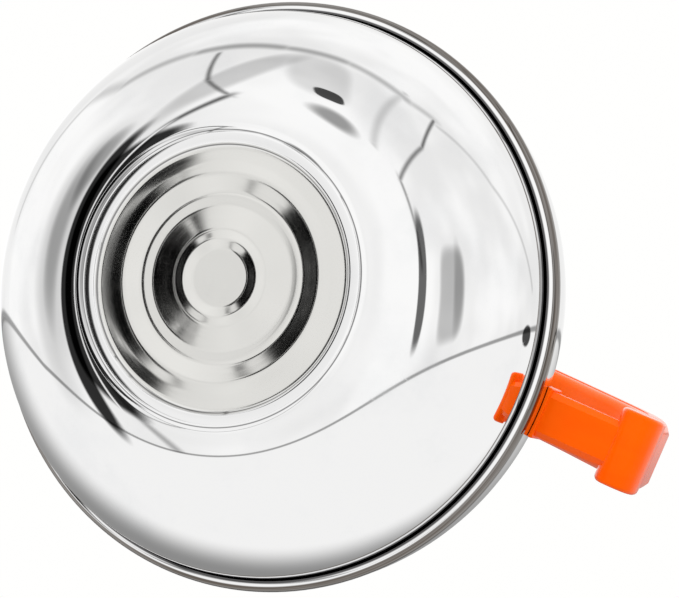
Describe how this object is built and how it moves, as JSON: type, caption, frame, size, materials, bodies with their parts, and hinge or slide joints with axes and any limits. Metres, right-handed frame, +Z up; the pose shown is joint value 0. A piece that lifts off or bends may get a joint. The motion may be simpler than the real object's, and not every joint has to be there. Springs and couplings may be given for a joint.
{
  "type": "whistling kettle",
  "caption": "Squat round steel stovetop kettle with a stamped base, rolled body seam, arched plastic handle, lift-off lid and a thumb-lever whistle on the spout.",
  "frame": {"origin": "on the body's axis, in the plane of the ring that the base stands on; the handle's rear end and the whistle reach equally far from it", "axes": "+Z up along the body's axis, +X towards the spout, +Y to the kettle's left seen from behind the handle"},
  "size_m": [0.3109, 0.226, 0.2027],
  "materials": {
    "polished_steel": "mirror-polished stainless sheet",
    "satin_steel": "satin",
    "orange_plastic": "glossy orange",
    "grey_silicone": "matte"
  },
  "bodies": {
    "kettle": {"lower_bowl": "polished_steel", "upper_dome": "polished_steel", "spout": "polished_steel", "front_bracket": "satin_steel", "front_screw_left": "satin_steel", "front_screw_right": "satin_steel", "handle_dowel_left": "satin_steel", "handle_dowel_right": "satin_steel", "lever_pin": "satin_steel", "lever_spring": "satin_steel", "liner_screw_front": "satin_steel", "liner_screw_rear": "satin_steel", "rear_rivet_left": "satin_steel", "rear_rivet_right": "satin_steel", "handle_arch": "orange_plastic", "handle_liner": "orange_plastic", "handle_rear": "orange_plastic", "handle_front": "orange_plastic"},
    "whistle": {"whistle_lever": "orange_plastic", "whistle_cap": "polished_steel", "whistle_gasket": "grey_silicone", "whistle_cup": "satin_steel", "whistle_plate": "satin_steel", "cap_rivet_left": "satin_steel", "cap_rivet_right": "satin_steel"},
    "lid": {"lid_shell": "polished_steel", "lid_skirt": "polished_steel", "lid_knob": "orange_plastic", "knob_washer": "satin_steel", "knob_screw": "satin_steel"}
  },
  "joints": [
    {"name": "whistle_hinge", "type": "hinge", "parent": "kettle", "child": "whistle", "pos_m": [0.10386, 0, 0.17199], "axis": [0, -1, 0], "range_deg": [0, 25], "stiffness_Nm_per_rad": 0.1, "springref_deg": -28.65},
    {"name": "lid_lift", "type": "slide", "parent": "kettle", "child": "lid", "axis": [0, 0, 1], "range_m": [0, 0.018]}
  ]
}
